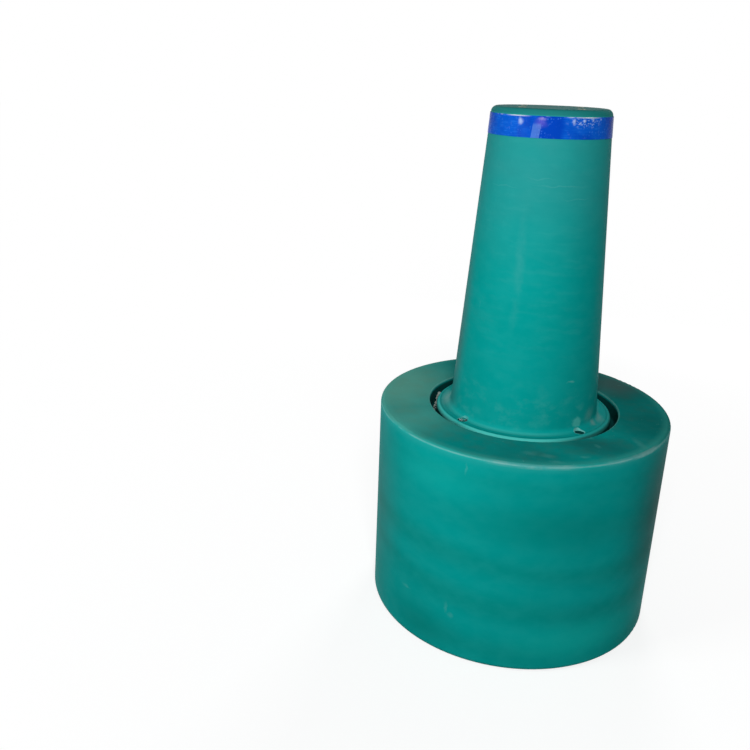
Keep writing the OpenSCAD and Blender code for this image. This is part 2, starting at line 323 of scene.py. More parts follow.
def soiled_deck(material, skin, wear, below):
    """Dirt on the deck, with dirt and painted shade darkest at the right and the back, a pale film at the
    left, and dirt and painted shade down in the recess.
    """
    place, on_deck = skin.place, skin.on_deck
    dirt = both(material, on_deck, cloud(material, place, 120, 0.25, 0.7, detail=6.0, shift=5))
    blotches = both(material, on_deck, cloud(material, place, (45, 45, 30), 0.42, 0.7, detail=7.0, shift=8))
    piled = ragged(material, place, 22, 90)
    # Dirt and painted shade: darker patches at the front, darkest at the right and the back, where the
    # tower's shadow falls
    dirt_and_painted_shade = both(material, on_deck, marks(
        material, piled, 0.9, ((10 * MM, -345 * MM, DECK_Z), (170, 90, 90), 0.24),
        ((195 * MM, -245 * MM, DECK_Z), (130, 90, 90), 0.52),
        ((340 * MM, -10 * MM, DECK_Z), (170, 230, 90), 0.34),
        ((275 * MM, 220 * MM, DECK_Z), (190, 260, 90), 0.52)))
    brown = both(material, on_deck, mark(
        material, piled, (262 * MM, 225 * MM, DECK_Z), (130, 150, 90), edge=1.0))
    left_film = both(material, on_deck, marks(
        material, piled, 0.9, ((-370 * MM, 60 * MM, DECK_Z), (250, 380, 90)),
        ((-300 * MM, -175 * MM, DECK_Z), (210, 210, 90), 0.55)))
    # Dirt and painted shade down in the recess, round the foot
    recess_dirt_and_shade = both(material, between(material, skin.height, DECK_Z - 3 * MM, DECK_Z - 12 * MM),
                     between(material, skin.height, RECESS_Z - 20 * MM, RECESS_Z - 5 * MM),
                     between(material, skin.radius, RECESS_R + 20 * MM, RECESS_R + 10 * MM),
                     between(material, skin.radius, FOOT_R - 5 * MM, FOOT_R - 1 * MM))
    return layer(material, below, ("#015c55", on_deck, 0.16 * wear.dirt), ("#07504a", dirt, 0.26 * wear.dirt),
                 ("#35776e", blotches, 0.34 * wear.dirt), ("#1d4442", dirt_and_painted_shade, wear.dirt),
                 ("#6b6463", brown, 0.36 * wear.dirt), ("#84bda6", left_film, 0.45 * wear.dirt),
                 ("#072523", recess_dirt_and_shade, 0.85 * wear.dirt))


def bored_pockets(material, skin, wear, below):
    """The bolt pockets, bored after the moulding: pale cut plastic with a painted highlight at the top,
    brightest at the bare pocket, and painted shade with dirt down in the hole.
    """
    place, height = skin.place, skin.height
    in_pocket = either(material, *[between(material, from_axis(material, place, centre), 15.5 * MM, 14.4 * MM)
                                   for centre in BOLT_PLACES])
    # Pale cut plastic and a painted highlight on the pockets' upper walls
    cut = both(material, in_pocket, span(material, height, FOOT_Z, -4, -2, 3, 9))
    # Painted shade, with grime, down in the pockets' holes
    pocket_shade_and_grime = both(material, in_pocket, between(material, height, FOOT_Z - 2 * MM, FOOT_Z - 4 * MM),
                 between(material, height, RECESS_Z - 60 * MM, RECESS_Z - 50 * MM))
    # A brighter painted highlight on the bare pocket's wall
    painted_highlight_bare = both(material, cut, mark(material, place, BOLT_PLACES[3], (40, 40, 200), edge=0.3))
    return layer(material, below, ("#8fe0d8", cut, 0.25 * wear.scuffs), ("#8fe0d8", painted_highlight_bare, 0.5 * wear.scuffs),
                 ("#041f1e", pocket_shade_and_grime, 0.85 * wear.dirt))


def worn_foot(material, skin, wear, below):
    """Dust on the foot, painted highlights on its rim and fillet, brightest at the front and the left,
    painted shade with dirt just inside the rim, and a painted highlight along the recess's lip.
    """
    place, height, radius = skin.place, skin.height, skin.radius
    dusty = ragged(material, place, 8, 22)
    dust = either(
        material, mark(material, dusty, (200 * MM, -30 * MM, FOOT_Z), (24, 60, 12), turn=12, edge=0.9),
        mark(material, dusty, (184 * MM, -84 * MM, FOOT_Z), (22, 22, 14), edge=0.9),
        marks(material, dusty, 1.0, (around(332, 207 * MM, FOOT_Z + 30 * MM), (38, 38, 28), 0.5),
              ((-212 * MM, 0, FOOT_Z), (22, 75, 14))))
    # Where the painted highlights on the rim and the fillet are brightest: at the front, and less at the left
    painted_highlight_mask = marks(material, place, 0.7, (around(262, FOOT_R - 5 * MM, FOOT_Z), (230, 160, 60)),
                     (around(206, FOOT_R, FOOT_Z), (150, 150, 60), 0.6))
    # Painted highlights: a band round the rim's rounding, and a line low on the fillet
    rim = both(material, span(material, radius, FOOT_R, -9, -6, 2, 8),
               between(material, height, FOOT_Z - 14 * MM, FOOT_Z - 8 * MM))
    fillet = both(material, span(material, radius, FOOT_R, -38, -33, -26, -22),
                  between(material, height, FOOT_Z + 12 * MM, FOOT_Z + 5 * MM))
    # Painted shade, with dirt, in a thin ring just inside the rim
    behind_rim = both(material, span(material, radius, FOOT_R, -15, -12, -10, -9), skin.faces_up)
    # A painted highlight along the recess's lip
    lip = both(material, span(material, radius, RECESS_R, -8, -6, 0, 2),
               between(material, height, DECK_Z - 5 * MM, DECK_Z - 3 * MM))
    colour = layer(material, below, ("#8aa7a1", dust, 0.5 * wear.dirt),
                   ("#56d2c8", both(material, rim, painted_highlight_mask), 0.8 * wear.scuffs),
                   ("#3fa8a0", rim, 0.3 * wear.scuffs),
                   ("#4cb9b1", both(material, fillet, painted_highlight_mask), 0.3 * wear.scuffs),
                   ("#04635c", behind_rim, 0.4 * wear.dirt), ("#6fb3ab", lip, 0.45 * wear.scuffs))
    return colour, dust


def scuffed_skin(material, skin, wear, below):
    """Pale scuffs: one on the cone, specks on the deck, a leaf-shaped one above the empty hole, and rubs."""
    scuffs = either(
        material, marks(material, skin.scuffed, 1.0, ((117 * MM, -155 * MM, 731 * MM), (18, 10, 4), 0.7, 30)),
        both(material, cloud(material, skin.place, 11, 0.69, 0.78, shift=9), skin.on_deck, 0.6))
    leaf = mark(material, skin.scuffed, (144 * MM, -141 * MM, 617 * MM), (21, 6, 17), turn=47, edge=0.5)
    rubs_on_deck = [((x * MM, y * MM, DECK_Z), (wide_mm, deep_mm, 12), 1.0, turn)
                    for x, y, wide_mm, deep_mm, turn in (
                        (94, -365, 26, 13, 0), (195, -246, 10, 18, 40), (178, -200, 14, 12, 0),
                        (161, -319, 20, 12, 25), (30, -332, 30, 18, 0), (73, -337, 26, 18, 0),
                        (300, -200, 16, 50, 25))]
    rubs_on_side = [(around(bearing, FLOAT_R, z), (wide_mm, wide_mm, high_mm))
                    for bearing, z, wide_mm, high_mm in (
                        (250.6, 0.130, 14, 12), (248.5, 0.148, 6, 24), (252.6, 0.562, 5, 24),
                        (229.0, 0.147, 24, 7))]
    rubs = marks(material, skin.scuffed, 1.0, *rubs_on_deck, *rubs_on_side)
    colour = layer(material, below, ("#79bfb7", scuffs, 0.5 * wear.scuffs),
                   ("#58c3b8", leaf, 0.6 * wear.scuffs), ("#79bfb7", rubs, 0.12 * wear.scuffs))
    return colour, scuffs


def rubbed_edge(material, skin, wear, below):
    """The deck's outer edge: painted highlights all along it, and rubbed pale by slings, most at the front
    and at the right.
    """
    height, radius, upward = skin.height, skin.radius, skin.upward
    by_edge = both(material, skin.on_deck, between(material, radius, FLOAT_R - 32 * MM, FLOAT_R - 10 * MM))
    # A painted highlight along the outermost edge
    on_edge = both(material, between(material, radius, FLOAT_R - 5 * MM, FLOAT_R - 2 * MM),
                   between(material, height, DECK_Z - 28 * MM, DECK_Z - 5 * MM))
    slung = both(material, between(material, radius, FLOAT_R - 8 * MM, FLOAT_R - 4 * MM),
                 between(material, height, DECK_Z - 14 * MM, DECK_Z - 5 * MM),
                 marks(material, skin.place, 0.5, (around(275, FLOAT_R, DECK_Z), (130, 130, 90)),
                       (around(317, FLOAT_R, DECK_Z), (120, 120, 90))))
    rubbed = both(material, slung,
                  cloud(material, skin.scuffed, (60, 60, 25), 0.42, 0.62, detail=6.0, shift=7))
    # A painted highlight where the edge's rounding turns down
    turning = both(material, between(material, radius, FLOAT_R - 12 * MM, FLOAT_R - 9 * MM),
                   between(material, height, DECK_Z - 14 * MM, DECK_Z - 9 * MM),
                   between(material, upward, 0.25, 0.45), between(material, upward, 0.75, 0.55),
                   cloud(material, skin.scuffed, (60, 60, 30), 0.3, 0.6, detail=6.0, shift=11))
    return layer(material, below, ("#4fb3a6", by_edge, 0.22 * wear.scuffs),
                 ("#35aea8", on_edge, 0.32 * wear.scuffs), ("#6aa3a4", slung, 0.3 * wear.scuffs),
                 ("#abb8b3", rubbed, 0.2 * wear.scuffs), ("#a5c9c2", turning, 0.27 * wear.scuffs))


def moulded_polyethylene(colours, wear):
    """Polyethylene, rotationally moulded from powder: a satin, slightly wavy skin, with level bands of
    painted shade.

    It is soft, so what rubs on it leaves pale smears and frayed edges, and dust and dirt stay on the deck.
    Painted highlights and painted shade lie over its colour."""
    material, shader, place = new_material("moulded_polyethylene", IOR=1.51)
    skin = Skin(material, place)
    colour, bands, wide = pigment(material, skin, colours.plastic)
    colour, streaks = weathered_tower(material, skin, wear, colour, wide)
    colour = soiled_deck(material, skin, wear, colour)
    colour = bored_pockets(material, skin, wear, colour)
    colour, dust = worn_foot(material, skin, wear, colour)
    colour, scuffs = scuffed_skin(material, skin, wear, colour)
    colour = rubbed_edge(material, skin, wear, colour)
    matt = either(material, skin.on_deck, dust, both(material, either(material, wide, scuffs), 0.4))
    surface(material, shader, colour, matt, 0.48, 0.6)
    # Dirt takes the plastic's little shine away
    shine = add_node(material, "ShaderNodeMapRange", Value=skin.on_deck, To_Min=0.013, To_Max=0.0)
    link(material, shine.outputs[0], shader.inputs["Specular IOR Level"])
    # The wall swells over a hand's width, and its skin has an orange peel of a few millimetres
    swell = cloud(material, place, 110, 0.0, 1.0, detail=1.0, shift=3)
    grain = cloud(material, place, 2.5, 0.0, 1.0, detail=2.0)
    relief(material, shader, (bands, 0.6), (swell, 1.5), (streaks, 0.04), (grain, 0.04), (scuffs, -0.1))
    return material


def reflective_tape(name, colour, pale):
    """Retroreflective tape: glass beads under a clear glossy face, over a blue film.

    The film has faint bubbles, and a painted sheen makes it lighter all round but near its front. Its upper
    edge has a painted white highlight, and pale says how much lighter its lower part looks where it lies
    loose."""
    material, shader, place = new_material(name, IOR=1.5, Specular_IOR_Level=0.012)
    height = add_node(material, "ShaderNodeSeparateXYZ", Vector=place).outputs["Z"]

    def on_tape(bearing, rise_mm):
        return around(bearing, TAPE_HIGH.x, TAPE_LOW.z + rise_mm * MM)

    # Painted sheen, and bubbles in the film
    from_front = from_axis(material, place, around(270, TAPE_HIGH.x, 0))
    # Painted sheen: the tape is lighter everywhere but near the front
    painted_sheen = both(material, cloud(material, place, 60, 0.25, 0.6, detail=4.0, shift=1),
                  between(material, from_front, 22 * MM, 42 * MM))
    blooms = cloud(material, place, 9, 0.6, 0.76, shift=2)
    cells = add_node(material, "ShaderNodeTexVoronoi", Vector=place, Scale=1 / (7 * MM), Randomness=0.6)
    bubbles = both(material, between(material, cells.outputs["Distance"], 0.34, 0.2),
                   cloud(material, place, 40, 0.5, 0.6, shift=6))
    dashes = both(material, painted_sheen, cloud(material, place, (22, 22, 2.6), 0.5, 0.75, detail=3.0, shift=8))

    # What lies on it: a violet stain, and painted glints in spots and specks where it catches the light
    uneven = ragged(material, place, 5, 12)
    violet = mark(material, uneven, on_tape(262, 34), (20, 20, 17), edge=1.0)
    lilac = mark(material, uneven, on_tape(263, 43), (15, 15, 6), edge=1.0)
    small = ((301, 41), (297, 35), (310, 43), (320, 46), (60, 40), (140, 42), (175, 38))
    painted_glints = either(
        material, mark(material, uneven, on_tape(243.1, 37), (10, 10, 12), edge=0.8),
        marks(material, uneven, 0.7, (on_tape(291, 40), (7, 7, 10)),
              *[(on_tape(bearing, rise_mm), (5, 5, 5)) for bearing, rise_mm in small]))
    # The specks are painted glints too, high on the right
    specks = both(material, cloud(material, place, (5, 5, 3.5), 0.52, 0.62, detail=2.0, shift=10),
                  mark(material, uneven, on_tape(303, 38), (60, 60, 16), edge=0.8))
    loose = between(material, height, TAPE_LOW.z + 36 * MM, TAPE_LOW.z + 28 * MM)
    # A painted white highlight along the upper edge, strongest at two bearings
    frayed = both(
        material, between(material, height, TAPE_HIGH.z - 3.5 * MM, TAPE_HIGH.z - 1 * MM),
        either(material, both(material, cloud(material, place, 45, 0.5, 0.65, detail=5.0, shift=3), 0.6),
               marks(material, place, 0.9, (around(239, TAPE_HIGH.x, TAPE_HIGH.z), (42, 42, 20)),
                     (around(306, TAPE_HIGH.x, TAPE_HIGH.z), (46, 46, 20)))))
    tint = layer(material, colour, ("#0a60d4", painted_sheen, 0.8), ("#6f9ae6", blooms, 0.2),
                 ("#4d8ff0", bubbles, 0.28), ("#2f86ef", dashes, 0.45), ("#6a5ccb", violet, 0.6),
                 ("#b9a2e2", lilac, 0.5), ("#c3d6fa", painted_glints, 0.6), ("#a9c8f8", specks, 0.6),
                 ("#80aeec", loose, pale), ("#dde6ea", frayed, 0.85))
    surface(material, shader, tint, painted_sheen, 0.16, 0.3)
    ripples = add_node(material, "ShaderNodeTexNoise", Vector=place, Scale=1 / (6 * MM), Detail=3.0)
    relief(material, shader, (ripples.outputs["Fac"], 0.12), (bubbles, 0.15))
    return material


def stainless_steel(colours):
    """Stainless steel fasteners, cold formed: bright but finely scored, with brown dust settled on them."""
    material, shader, place = new_material("stainless_steel", Metallic=1.0)
    stain = cloud(material, place, 7, 0.5, 0.66, detail=5.0)
    surface(material, shader, layer(material, colours.steel, ("#7c6a5a", stain, 0.5)), stain, 0.25, 0.55)
    score = cloud(material, place, 0.6, 0.3, 0.7)
    relief(material, shader, (score, 0.01))
    return material


def galvanised_steel(colours):
    """Hot-dip galvanised steel: dull grey zinc whose crystals show as a spangle, with chalky white bloom."""
    material, shader, place = new_material("galvanised_steel", Metallic=0.9)
    crystals = add_node(material, "ShaderNodeTexVoronoi", Vector=place, Scale=1 / (9 * MM))
    grey = add_node(material, "ShaderNodeSeparateColor", Color=crystals.outputs["Color"]).outputs[0]
    chalk = cloud(material, place, 45, 0.5, 0.7, detail=6.0)
    tint = layer(material, colours.zinc, ("#6f767b", grey, 0.7), ("#c5cbcc", chalk, 0.5))
    surface(material, shader, tint, either(material, grey, chalk), 0.38, 0.65)
    drips = cloud(material, place, 18, 0.3, 0.7, detail=2.0, shift=4)
    relief(material, shader, (drips, 0.15), (grey, 0.01))
    return material


def turned_brass(colours):
    """Brass threaded inserts, turned: the thread's ridges run round the bore, and tarnish dulls the metal."""
    material, shader, place = new_material("turned_brass", Metallic=1.0)
    tarnish = cloud(material, place, 12, 0.35, 0.7, detail=4.0)
    surface(material, shader, layer(material, colours.brass, ("#7a6238", tarnish, 0.7)), tarnish, 0.28, 0.5)
    thread = add_node(material, "ShaderNodeTexWave", {"wave_type": "BANDS", "bands_direction": "Z"},
                      Vector=place, Scale=WAVE_PERIOD / THREAD_PITCH)
    relief(material, shader, (thread.outputs["Fac"], 0.6))
    return material


def plug_plastic(colours):
    """Injection-moulded plug plastic: smoother and darker than the float, with a fine spark-eroded grain."""
    material, shader, place = new_material("plug_plastic", Specular_IOR_Level=0.3)
    worn = cloud(material, place, 20, 0.45, 0.7, detail=5.0)
    surface(material, shader, layer(material, colours.plug, ("#3b817d", worn, 0.4)), worn, 0.35, 0.55)
    # The real grain is under 0.1 mm, and is drawn as coarse as it needs to show
    grain = cloud(material, place, 1.2, 0.3, 0.7)
    relief(material, shader, (grain, 0.02))
    return material


def set_foam(colours):
    """Crumbs of the polyurethane foam that fills the mouldings: pale grey, open-celled and dusty."""
    material, shader, place = new_material("set_foam", Roughness=0.95, Specular_IOR_Level=0.1)
    # The real cells are under 0.5 mm, and are drawn as coarse as they need to show
    cells = add_node(material, "ShaderNodeTexVoronoi", Vector=place, Scale=1 / (1.5 * MM))
    dust = cloud(material, place, 14, 0.4, 0.65, detail=4.0)
    link(material, layer(material, colours.foam, ("#5d5c52", dust, 0.6)), shader.inputs["Base Color"])
    relief(material, shader, (cells.outputs["Distance"], 0.4))
    return material


def dress(material, *names):
    """Gives CAD nodes a material."""
    for name in names:
        mesh = NODES[name].data
        mesh.materials.clear()
        mesh.materials.append(material)


# Modelling


def deselect():
    """Leaves nothing selected, so that the next operator acts on its own piece only."""
    if bpy.context.object and bpy.context.object.mode != "OBJECT":
        bpy.ops.object.mode_set(mode="OBJECT")
    bpy.ops.object.select_all(action="DESELECT")


def select(piece, kind, test):
    """In edit mode, selects the vertices, edges or faces that pass the test, and nothing else."""
    bpy.ops.mesh.select_mode(type={"verts": "VERT", "edges": "EDGE", "faces": "FACE"}[kind])
    bpy.ops.mesh.select_all(action="DESELECT")
    mesh = bmesh.from_edit_mesh(piece.data)
    for part in getattr(mesh, kind):
        if test(part):
            part.select_set(True)
    bmesh.update_edit_mesh(piece.data)


def apply_modifier(piece, kind, **settings):
    """Adds a modifier with its settings to a piece, and applies it."""
    modifier = piece.modifiers.new(kind.title(), kind)
    for name, value in settings.items():
        setattr(modifier, name, value)
    bpy.ops.object.modifier_apply(modifier=modifier.name)


def colour_setting(name, description, hex_colour):
    """A colour in the panel, with its default."""
    return FloatVectorProperty(name=name, description=description, subtype="COLOR", size=3, min=0, max=1,
                               default=to_linear(hex_colour))


def angle_setting(name, description, degrees):
    """An angle in the panel, with its default in degrees."""
    return FloatProperty(name=name, description=description, default=math.radians(degrees),
                         subtype="ANGLE", unit="ROTATION")


class BuoyColours(bpy.types.PropertyGroup):
    """Colours of the buoy's finishes"""

    plastic: colour_setting("Plastic", "Colour of the moulded plastic", "#009793")
    tape: colour_setting("Tape", "Colour of the reflective tape", "#0342b8")
    steel: colour_setting("Stainless steel", "Colour of the bolts and washers in the tower's foot", "#c4c5c5")
    zinc: colour_setting("Zinc", "Colour of the galvanised mooring plate and its bolts", "#9fa6aa")
    brass: colour_setting("Brass", "Colour of the threaded inserts", "#c2a567")
    plug: colour_setting("Plugs", "Colour of the plugs in the base", "#06605c")
    foam: colour_setting("Foam", "Colour of the foam crumbs in the recess", "#a9b9b4")


class BuoyWear(bpy.types.PropertyGroup):
    """How dirty and how worn the plastic is"""

    # Dirt also sets how dark the painted shade is on the sides, the deck, in the recess and in the pockets
    dirt: FloatProperty(
        name="Dirt", description="How thickly dirt lies on the deck and in the recess",
        default=1.0, min=0, max=1.5, subtype="FACTOR")
    # Scuffs also sets how bright the painted highlights are on the tower, the rims, the edges and the pockets
    scuffs: FloatProperty(
        name="Scuffs", description="How pale the scuffs, scratches and rubbed edges are",
        default=1.0, min=0, max=1.5, subtype="FACTOR")


class BuoyTape(bpy.types.PropertyGroup):
    """Sizes of the reflective tape"""

    thickness: FloatProperty(
        name="Thickness", description="Thickness of the tape",
        default=0.6 * MM, min=0.1 * MM, max=2 * MM, unit="LENGTH", precision=4)
    wrinkle: FloatProperty(
        name="Wrinkle", description="How far the wrinkles near the upper edge stand out",
        default=1.3 * MM, min=0, max=5 * MM, unit="LENGTH", precision=4)
    seam: angle_setting("Seam", "Bearing of the middle of the overlap, from the buoy's right side", 258.5)
    overlap: angle_setting("Overlap", "Angle that the tape's end takes up over its start", 7.5)
    slant: angle_setting("Slant", "Angle by which the tape's end is cut askew", 6)


class BuoyStage(bpy.types.PropertyGroup):
    """The camera, the floor and the lamps"""

    camera_distance: FloatProperty(
        name="Camera distance", description="Distance of the camera in front of the buoy's axis",
        default=2.202, min=1, max=10, unit="LENGTH")
    camera_height: FloatProperty(
        name="Camera height", description="Height of the camera above the floor",
        default=1.466, min=0, max=5, unit="LENGTH")
    camera_down: angle_setting("Camera tilt", "Angle by which the camera looks down", 20.25)
    camera_left: angle_setting("Camera turn", "Angle by which the camera is turned left of the axis", 10.98)
    camera_roll: angle_setting("Camera roll", "Angle by which the camera is tipped, counter-clockwise", 1.83)
    lens: FloatProperty(
        name="Lens", description="Focal length on a 36 mm sensor", default=39.54, min=10, max=200,
        unit="CAMERA")
    front_power: FloatProperty(
        name="Front lamp", description="Power of the wide lamp in front, above the camera",
        default=76, min=0, max=500, unit="POWER")
    left_power: FloatProperty(
        name="Left lamp", description="Power of the lamp on the left",
        default=12, min=0, max=500, unit="POWER")
    back_power: FloatProperty(
        name="Back lamp", description="Power of the low lamp behind the buoy",
        default=36, min=0, max=500, unit="POWER")
    ambient: FloatProperty(
        name="Ambient", description="Brightness of the light that comes from all round",
        default=0.1, min=0, max=2, subtype="FACTOR")


class BUOY_OT_plastic(bpy.types.Operator):
    """Give the float and the tower their moulded plastic"""

    bl_idname = "buoy.plastic"
    bl_label = "Moulded plastic"

    def execute(self, context):
        plastic = moulded_polyethylene(context.scene.buoy_colours, context.scene.buoy_wear)
        dress(plastic, "float", "tower")
        return {"FINISHED"}


class BUOY_OT_tape(bpy.types.Operator):
    """Wind the reflective tape round the tower, with its overlap, wrinkles and bubbles"""

    bl_idname = "buoy.tape"
    bl_label = "Reflective tape"

    COLUMNS, ROWS = 720, 24  # faces of the unwrinkled tape, round it and up it
    END_PALENESS = 0.28  # of the lower part of the overlapping end, which lies loose
    # Wrinkled spots near the upper edge that catch the light: bearing, and drop, width and rise in mm
    BLISTERS = ((243, 13, 9, 1.0), (291, 9, 7, 1.4), (301, 9, 6, 1.2), (310, 6, 5, 1.3), (320, 5, 6, 1.0),
                (264, 11, 10, 0.9), (100, 10, 9, 1.2), (160, 12, 8, 1.1), (20, 9, 8, 1.2))

    def execute(self, context):
        tape, colours = context.scene.buoy_tape, context.scene.buoy_colours
        ring = self.wind(0.0)
        self.raise_blisters(ring)
        self.wrinkle(ring, tape)
        end = self.wind(tape.thickness)
        self.keep_overlap(end, tape)
        self.wrinkle(end, tape)
        film = reflective_tape("reflective_tape", colours.tape, 0.0)
        end_film = reflective_tape("reflective_tape_end", colours.tape, self.END_PALENESS)
        end.data.materials.append(film)
        end.data.materials.append(end_film)
        end.data.polygons.foreach_set("material_index", [1] * len(end.data.polygons))
        ring.data.materials.append(film)
        deselect()
        end.select_set(True)
        ring.select_set(True)
        context.view_layer.objects.active = ring
        bpy.ops.object.join()
        bpy.ops.object.shade_smooth_by_angle(angle=math.radians(40))
        ring.name = ring.data.name = "wound_tape"
        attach(ring, BODY)
        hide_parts("tape_band")
        return {"FINISHED"}

    def wind(self, lift):
        """An open cone as high as the tape, with faces fine enough to wrinkle."""
        deselect()
        low, high = TAPE_LOW.z, TAPE_HIGH.z
        bpy.ops.mesh.primitive_cone_add(
            vertices=self.COLUMNS, end_fill_type="NOTHING", depth=high - low,
            location=(0, 0, (low + high) / 2),
            radius1=TAPE_HIGH.x + lift, radius2=radius_at("tape_band", high) + lift)
        piece = bpy.context.object
        bpy.ops.object.transform_apply(location=True)
        bpy.ops.object.mode_set(mode="EDIT")
        select(piece, "edges", lambda edge: abs(edge.verts[0].co.z - edge.verts[1].co.z) > 1 * MM)
        bpy.ops.mesh.subdivide(number_cuts=self.ROWS - 1)
        bpy.ops.object.mode_set(mode="OBJECT")
        return piece

    def raise_blisters(self, piece):
        """Pulls one point of each blister outwards, and its neighbours with it."""
        bpy.ops.object.mode_set(mode="EDIT")
        for bearing, drop_mm, width_mm, rise_mm in self.BLISTERS:
            z = TAPE_HIGH.z - drop_mm * MM
            spot = around(bearing, TAPE_HIGH.x, z)
            mesh = bmesh.from_edit_mesh(piece.data)
            nearest = min(mesh.verts, key=lambda v: (v.co - spot).length_squared).index
            select(piece, "verts", lambda v: v.index == nearest)
            bpy.ops.transform.translate(
                value=around(bearing, rise_mm * MM, 0), use_proportional_edit=True,
                proportional_edit_falloff="SMOOTH", proportional_size=width_mm * MM)
        bpy.ops.object.mode_set(mode="OBJECT")

    def keep_overlap(self, piece, tape):
        """Cuts the tape's end out of the cone, between two slanting cuts."""
        middle = around(math.degrees(tape.seam), 1, 0)
        reach = tape.overlap * 1.5
        bpy.ops.object.mode_set(mode="EDIT")
        select(piece, "faces", lambda face: face.calc_center_median().xy.angle(middle.xy) > reach)
        bpy.ops.mesh.delete(type="FACE")
        for side in (-1, 1):
            edge = around(math.degrees(tape.seam + side * tape.overlap / 2), TAPE_HIGH.x,
                          (TAPE_LOW.z + TAPE_HIGH.z) / 2)
            along = middle.cross(Vector((0, 0, -side)))
            bpy.ops.mesh.select_all(action="SELECT")
            bpy.ops.mesh.bisect(plane_co=edge, plane_no=along - Vector((0, 0, side * math.tan(tape.slant))),
                                clear_outer=True)
        bpy.ops.object.mode_set(mode="OBJECT")

    def wrinkle(self, piece, tape):
        """Wrinkles the tape, most near its upper edge, and gives it its thickness."""
        loose = piece.vertex_groups.new(name="loose")
        height = TAPE_HIGH.z - TAPE_LOW.z
        stuck, held = 0.12, 0.55  # how loose the lower part is, and its share of the height
        for vertex in piece.data.vertices:
            rise = (vertex.co.z - TAPE_LOW.z) / height
            loose.add([vertex.index], stuck + (1 - stuck) * max(0.0, rise - held) / (1 - held), "REPLACE")
        creases = bpy.data.textures.new("tape_creases", "CLOUDS")
        creases.noise_scale = 14 * MM
        creases.noise_depth = 2
        apply_modifier(piece, "DISPLACE", texture=creases, texture_coords="LOCAL", vertex_group="loose",
                       strength=tape.wrinkle, mid_level=0.35)
        apply_modifier(piece, "SOLIDIFY", thickness=tape.thickness, offset=-1)


class BUOY_OT_fasteners(bpy.types.Operator):
    """Give the bolts, washers and threaded inserts their metal"""

    bl_idname = "buoy.fasteners"
    bl_label = "Fasteners"

    def execute(self, context):
        colours = context.scene.buoy_colours
        dress(stainless_steel(colours), *[n for n in NODES if n.startswith(("foot_bolt", "foot_washer"))])
        dress(turned_brass(colours), *[n for n in NODES if "insert" in n])
        return {"FINISHED"}


class BUOY_OT_mooring(bpy.types.Operator):
    """Galvanise the mooring plate, its bolts and its eye"""

    bl_idname = "buoy.mooring"
    bl_label = "Mooring"

    def execute(self, context):
        zinc = galvanised_steel(context.scene.buoy_colours)
        dress(zinc, *[n for n in NODES if n.startswith(("plate_", "mooring_"))])
        return {"FINISHED"}


class BUOY_OT_plugs(bpy.types.Operator):
    """Give the plugs in the base their darker plastic"""

    bl_idname = "buoy.plugs"
    bl_label = "Foam plugs"

    def execute(self, context):
        dress(plug_plastic(context.scene.buoy_colours), *[n for n in NODES if n.startswith("foam_plug")])
        return {"FINISHED"}


class BUOY_OT_crumbs(bpy.types.Operator):
    """Scatter the foam crumbs that have fallen into the recess, beside the tower's foot"""

    bl_idname = "buoy.crumbs"
    bl_label = "Foam crumbs"

    LAYER_MM = 11  # from one layer of the pile to the next
    # Crumbs in the gap: bearing, size in mm, and how many layers up each lies
    PILE = ((162.5, 16, 0), (166.5, 17, 0), (170.3, 15, 0), (164.0, 15, 1), (168.0, 15, 1), (165.0, 14, 2),
            (173.2, 10, 0), (168.6, 9, 2))

    def execute(self, context):
        draw = random.Random(7)
        crumbs = []
        for bearing, size_mm, up in self.PILE:
            floor = RECESS_Z + up * self.LAYER_MM * MM
            crumbs.append(self.crumb(draw, bearing, FOOT_R + 10 * MM, size_mm, floor))
        # Nine smaller ones trail off beside the pile
        for i in range(9):
            radius = FOOT_R + draw.uniform(4, 16) * MM
            crumbs.append(self.crumb(draw, 174 + 1.1 * i, radius, draw.uniform(3, 6), RECESS_Z))
        deselect()
        for crumb in crumbs:
            crumb.select_set(True)
        piece = crumbs[0]
        context.view_layer.objects.active = piece
        bpy.ops.object.join()
        piece.name = piece.data.name = "foam_crumbs"
        piece.data.materials.append(set_foam(context.scene.buoy_colours))
        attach(piece, BODY)
        return {"FINISHED"}

    def crumb(self, draw, bearing, radius, size_mm, floor):
        """One broken lump: a ball, roughened and flattened, that touches the floor."""
        deselect()
        half = size_mm / 2 * MM
        flat = draw.uniform(0.65, 0.85)
        bpy.ops.mesh.primitive_ico_sphere_add(
            subdivisions=3, radius=half, location=around(bearing, radius, floor + half * flat * 0.9))
        piece = bpy.context.object
        bpy.ops.object.mode_set(mode="EDIT")
        bpy.ops.mesh.select_all(action="SELECT")
        bpy.ops.transform.vertex_random(offset=half * 0.16, seed=draw.randrange(1000))
        bpy.ops.transform.resize(value=(draw.uniform(0.75, 1.0), draw.uniform(0.75, 1.0), flat))
        bpy.ops.object.mode_set(mode="OBJECT")
        bpy.ops.object.transform_apply(location=True, rotation=True, scale=True)
        return piece


